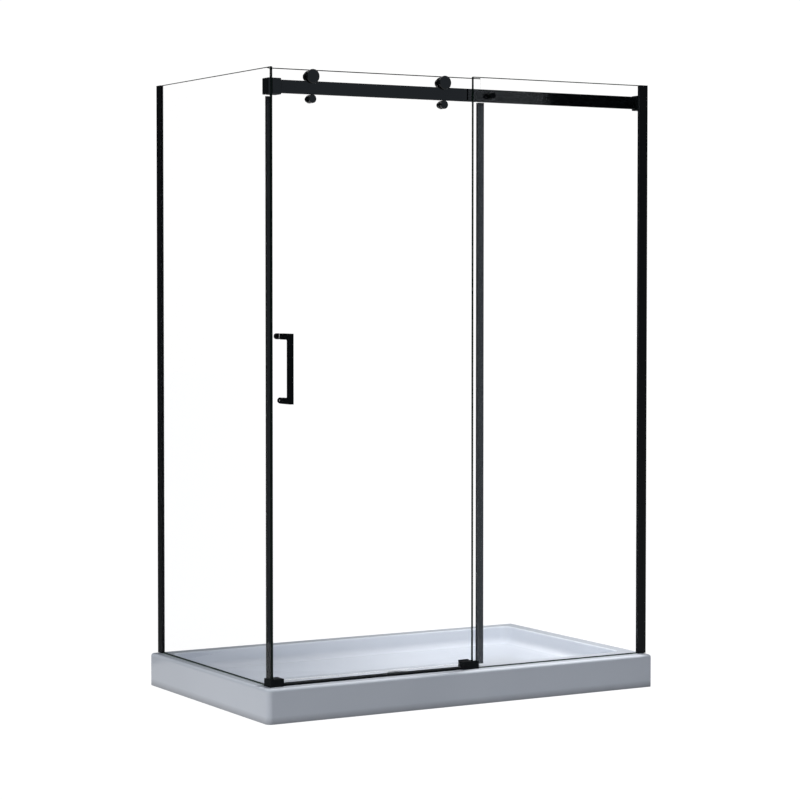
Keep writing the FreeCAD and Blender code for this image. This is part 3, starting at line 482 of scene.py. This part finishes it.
matt_steel, tree, place = start_material("Matt_black_coated_steel")
handling = add_node(tree, "ShaderNodeTexNoise", {"Vector": place, "Scale": per_metre(35), "Detail": 3.0})
tint = add_node(
    tree, "ShaderNodeMix",
    {"Factor_Float": handling, "A_Color": linear("#0a0c0e"), "B_Color": linear("#101315")},
    data_type="RGBA",
)
gloss = add_node(tree, "ShaderNodeMapRange", {"Value": handling, "To Min": 0.3, "To Max": 0.4})
shader = add_node(
    tree, "ShaderNodeBsdfPrincipled",
    {"Base Color": tint, "Roughness": gloss, "Specular IOR Level": 0.035},
)
add_node(tree, "ShaderNodeOutputMaterial", {"Surface": shader})
dress(matt_steel, "door_handle", "handle_inner_knob", "handle_inner_cap", "panel_bolt")


# Bushes: white nylon, turned to fit between each bolt and the hole in the glass.
# The natural resin is waxy and slightly uneven in tone.

white_nylon, tree, place = start_material("Natural_nylon_white")
flow = add_node(tree, "ShaderNodeTexNoise", {"Vector": place, "Scale": per_metre(4), "Detail": 2.0})
tint = add_node(
    tree, "ShaderNodeMix",
    {"Factor_Float": flow, "A_Color": linear("#dcdad2"), "B_Color": linear("#e9e7e0")},
    data_type="RGBA",
)
shader = add_node(
    tree, "ShaderNodeBsdfPrincipled",
    {"Base Color": tint, "Roughness": 0.45, "IOR": 1.53},
)
add_node(tree, "ShaderNodeOutputMaterial", {"Surface": shader})
dress(white_nylon, "rail_clamp_bush", "panel_bolt_bush", "hanger_bushes", "handle_bushes")


# Roller wheels and guide liners: black nylon, moulded over the bearing's outer ring or as pads in the guide.
# Running rubs it a little paler and smoother in places.

black_nylon, tree, place = start_material("Moulded_nylon_black")
rub = add_node(tree, "ShaderNodeTexNoise", {"Vector": place, "Scale": per_metre(3), "Detail": 3.0})
tint = add_node(
    tree, "ShaderNodeMix",
    {"Factor_Float": rub, "A_Color": linear("#121315"), "B_Color": linear("#1d1f21")},
    data_type="RGBA",
)
gloss = add_node(tree, "ShaderNodeMapRange", {"Value": rub, "To Min": 0.3, "To Max": 0.45})
shader = add_node(
    tree, "ShaderNodeBsdfPrincipled",
    {"Base Color": tint, "Roughness": gloss, "Specular IOR Level": 0.35},
)
add_node(tree, "ShaderNodeOutputMaterial", {"Surface": shader})
dress(black_nylon, "left_roller_wheel", "right_roller_wheel", "door_guide_liners")


# Floor and surroundings: a plain pale floor that runs into a white room, with only the object's shadow on it.
# Eye, mirror and glass see white, while the light that falls on the object stays soft and plain.

FLOOR_REACH = 30.0
FLOOR_DROP = 0.0005
WHITE_SHARE = 0.35
floor_mesh = bpy.data.meshes.new("floor")
corners = [(x * FLOOR_REACH, y * FLOOR_REACH, 0.0) for x, y in ((-1, -1), (1, -1), (1, 1), (-1, 1))]
floor_mesh.from_pydata(corners, [], [(0, 1, 2, 3)])
floor = bpy.data.objects.new("floor", floor_mesh)
floor.location.z = cad_box[0].z - FLOOR_DROP
bpy.context.collection.objects.link(floor)


def seen_white(tree):
    """The share of rays from the eye, a mirror or a glass: 1 for them and 0 for the light on the object."""
    ray = add_node(tree, "ShaderNodeLightPath")
    eye_or_mirror = add_node(
        tree, "ShaderNodeMath",
        {"Value": ray.outputs["Is Camera Ray"], "Value_001": ray.outputs["Is Glossy Ray"]},
        operation="MAXIMUM",
    )
    return add_node(
        tree, "ShaderNodeMath",
        {"Value": eye_or_mirror, "Value_001": ray.outputs["Is Transmission Ray"]},
        operation="MAXIMUM",
    )


pale_floor, tree, place = start_material("Pale_floor_paint")
paint = add_node(
    tree, "ShaderNodeBsdfPrincipled",
    {"Base Color": linear("#727477"), "Roughness": 0.9, "Specular IOR Level": 0.0},
)
white = add_node(tree, "ShaderNodeEmission", {"Strength": 2.82})
share = add_node(
    tree, "ShaderNodeMath",
    {"Value": seen_white(tree), "Value_001": WHITE_SHARE},
    operation="MULTIPLY",
)
shader = add_node(tree, "ShaderNodeMixShader", {"Fac": share, "Shader": paint, "Shader_001": white})
add_node(tree, "ShaderNodeOutputMaterial", {"Surface": shader})
floor.data.materials.append(pale_floor)

world = bpy.data.worlds.new("white_room")
bpy.context.scene.world = world
world.use_nodes = True
tree = world.node_tree
tree.nodes.clear()
room_light = add_node(tree, "ShaderNodeBackground", {"Color": linear("#edf2fa"), "Strength": 0.455})
room_white = add_node(tree, "ShaderNodeBackground", {"Color": linear("#ffffff"), "Strength": 1.04})
room = add_node(
    tree, "ShaderNodeMixShader",
    {"Fac": seen_white(tree), "Shader": room_light, "Shader_001": room_white},
)
add_node(tree, "ShaderNodeOutputWorld", {"Surface": room})


# Boards: matt panels that stand round the object as in a studio, and that show only in its mirroring faces.
# They keep the glare of the white room off the black coats, the glass and the tray's rim.

BOARD_FOOT = -1.0


def stand_board(name, colour, start, end, height):
    """An upright board between two places on the floor, in metres. Only a ray that a mirroring face has
    turned sees it, also through glass. Every other ray passes it."""
    mesh = bpy.data.meshes.new(name)
    corners = [(*start, BOARD_FOOT), (*end, BOARD_FOOT), (*end, height), (*start, height)]
    mesh.from_pydata(corners, [], [(0, 1, 2, 3)])
    board = bpy.data.objects.new(name, mesh)
    board.visible_camera = False
    board.visible_diffuse = False
    board.visible_shadow = False
    bpy.context.collection.objects.link(board)
    paint, tree, place = start_material(name + "_paint")
    ray = add_node(tree, "ShaderNodeLightPath")
    turned = add_node(
        tree, "ShaderNodeMath",
        {"Value": ray.outputs["Glossy Depth"], "Value_001": 0.5},
        operation="GREATER_THAN",
    )
    passed = add_node(tree, "ShaderNodeBsdfTransparent")
    shade = add_node(tree, "ShaderNodeEmission", {"Color": linear(colour), "Strength": 1.0})
    shader = add_node(tree, "ShaderNodeMixShader", {"Fac": turned, "Shader": passed, "Shader_001": shade})
    add_node(tree, "ShaderNodeOutputMaterial", {"Surface": shader})
    mesh.materials.append(paint)


stand_board("front_board", "#c9d6e4", start=(-3.0, -9.0), end=(5.4, -9.0), height=6.0)
stand_board("bright_board", "#eff7ff", start=(5.4, -9.0), end=(6.1, -9.0), height=6.0)
stand_board("right_board", "#060608", start=(6.1, -9.0), end=(10.0, 0.0), height=6.0)
stand_board("back_board", "#4a4d50", start=(9.0, 9.0), end=(-3.0, 9.0), height=5.0)
stand_board("left_board", "#505357", start=(-3.0, 9.0), end=(-9.0, 6.0), height=6.0)
stand_board("near_board", "#3c3f42", start=(-0.8, 0.8), end=(-4.0, 2.4), height=6.0)
stand_board("side_board", "#1c1e20", start=(-9.0, 6.0), end=(-3.0, -9.0), height=6.0)


# Lamps: a soft box high over the right half of the tray, and a low one at the left that lights the skirt.
# A black flag hangs under the upper one with its edge askew, and shades the basin's left and back.

def soft_box(name, at, aim, side, watts, spread, mirrored):
    """A square area lamp at a place, turned to a point, in metres and watts, with its beam in degrees.
    Glossy faces show it if it is mirrored."""
    lamp = bpy.data.lights.new(name, "AREA")
    lamp.size = side
    lamp.energy = watts
    lamp.spread = math.radians(spread)
    holder = bpy.data.objects.new(name, lamp)
    holder.visible_glossy = mirrored
    holder.location = at
    holder.rotation_euler = (Vector(aim) - Vector(at)).to_track_quat("-Z", "Y").to_euler()
    bpy.context.collection.objects.link(holder)


soft_box(
    "overhead_soft_box", at=(0.7, -0.1, 3.1), aim=(0.4, -0.35, 0.06), side=0.3, watts=18.5, spread=90.0,
    mirrored=False,
)
soft_box(
    "left_soft_box", at=(-5.0, -1.5, 0.3), aim=(-0.76, 0.0, 0.1), side=0.5, watts=25.0, spread=120.0,
    mirrored=True,
)
FLAG_HEIGHT = 2.3
FLAG_CORNERS = ((-1.6, -0.5), (-0.2, -0.5), (1.02, 0.5), (-1.6, 0.5))
flag_mesh = bpy.data.meshes.new("flag")
flag_mesh.from_pydata([(x, y, FLAG_HEIGHT) for x, y in FLAG_CORNERS], [], [(0, 1, 2, 3)])
flag_mesh.materials.append(dead_matt)
flag = bpy.data.objects.new("flag", flag_mesh)
flag.visible_camera = False
flag.visible_glossy = False
flag.visible_transmission = False
bpy.context.collection.objects.link(flag)


# Camera: the photograph's place and lens, left of the front and a little above half height.
# Its place is in metres, its turn in degrees, its film and lens in millimetres, its shift in frame widths.

CAMERA_EYE = (-4.2691, -7.2970, 1.4034)
CAMERA_YAW = 29.740
CAMERA_PITCH = -1.881
CAMERA_FILM = 36.0
CAMERA_LENS = 107.91
CAMERA_SHIFT = (0.03, -0.04)
camera = bpy.data.objects.new("camera", bpy.data.cameras.new("camera"))
camera.data.sensor_width = CAMERA_FILM
camera.data.lens = CAMERA_LENS
camera.data.shift_x, camera.data.shift_y = CAMERA_SHIFT
camera.location = CAMERA_EYE
camera.rotation_euler = (math.radians(90 + CAMERA_PITCH), 0.0, math.radians(-CAMERA_YAW))
bpy.context.collection.objects.link(camera)
bpy.context.scene.camera = camera
bpy.context.scene.view_settings.view_transform = "Standard"
